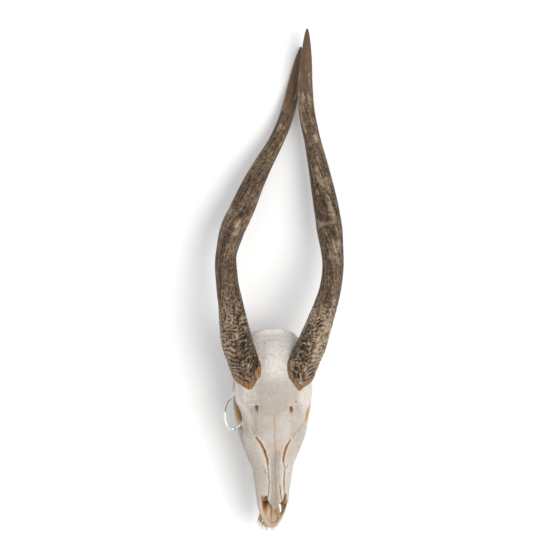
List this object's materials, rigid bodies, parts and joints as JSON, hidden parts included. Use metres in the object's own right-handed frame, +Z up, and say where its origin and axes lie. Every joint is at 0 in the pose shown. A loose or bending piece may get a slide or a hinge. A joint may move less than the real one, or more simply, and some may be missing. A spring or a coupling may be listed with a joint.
{
  "type": "bongo skull",
  "caption": "Dry skull of a bongo antelope lying face up, with two long lyre-shaped horns, its lower jaw and teeth, and a metal strip tag through one eye socket.",
  "frame": {"origin": "under the middle of the whole skull's footprint, on the surface that it lies on", "axes": "+Z up, out of the forehead, +Y from the muzzle toward the horn tips, +X toward the animal's left"},
  "size_m": [0.2556, 1.0044, 0.1857],
  "materials": {
    "bone": "matte",
    "horn": "satin",
    "enamel": "satin",
    "tag_metal": "satin"
  },
  "bodies": {
    "root": {"cranium": "bone", "mandible_left": "bone", "mandible_right": "bone", "horn_left": "horn", "horn_right": "horn", "upper_tooth_left_1": "enamel", "upper_tooth_left_2": "enamel", "upper_tooth_left_3": "enamel", "upper_tooth_left_4": "enamel", "upper_tooth_left_5": "enamel", "upper_tooth_left_6": "enamel", "lower_tooth_left_1": "enamel", "lower_tooth_left_2": "enamel", "lower_tooth_left_3": "enamel", "lower_tooth_left_4": "enamel", "lower_tooth_left_5": "enamel", "lower_tooth_left_6": "enamel", "incisor_left_1": "enamel", "incisor_left_2": "enamel", "incisor_left_3": "enamel", "incisor_left_4": "enamel", "upper_tooth_right_1": "enamel", "upper_tooth_right_2": "enamel", "upper_tooth_right_3": "enamel", "upper_tooth_right_4": "enamel", "upper_tooth_right_5": "enamel", "upper_tooth_right_6": "enamel", "lower_tooth_right_1": "enamel", "lower_tooth_right_2": "enamel", "lower_tooth_right_3": "enamel", "lower_tooth_right_4": "enamel", "lower_tooth_right_5": "enamel", "lower_tooth_right_6": "enamel", "incisor_right_1": "enamel", "incisor_right_2": "enamel", "incisor_right_3": "enamel", "incisor_right_4": "enamel", "tag_band": "tag_metal", "tag_clasp": "tag_metal"}
  },
  "joints": []
}
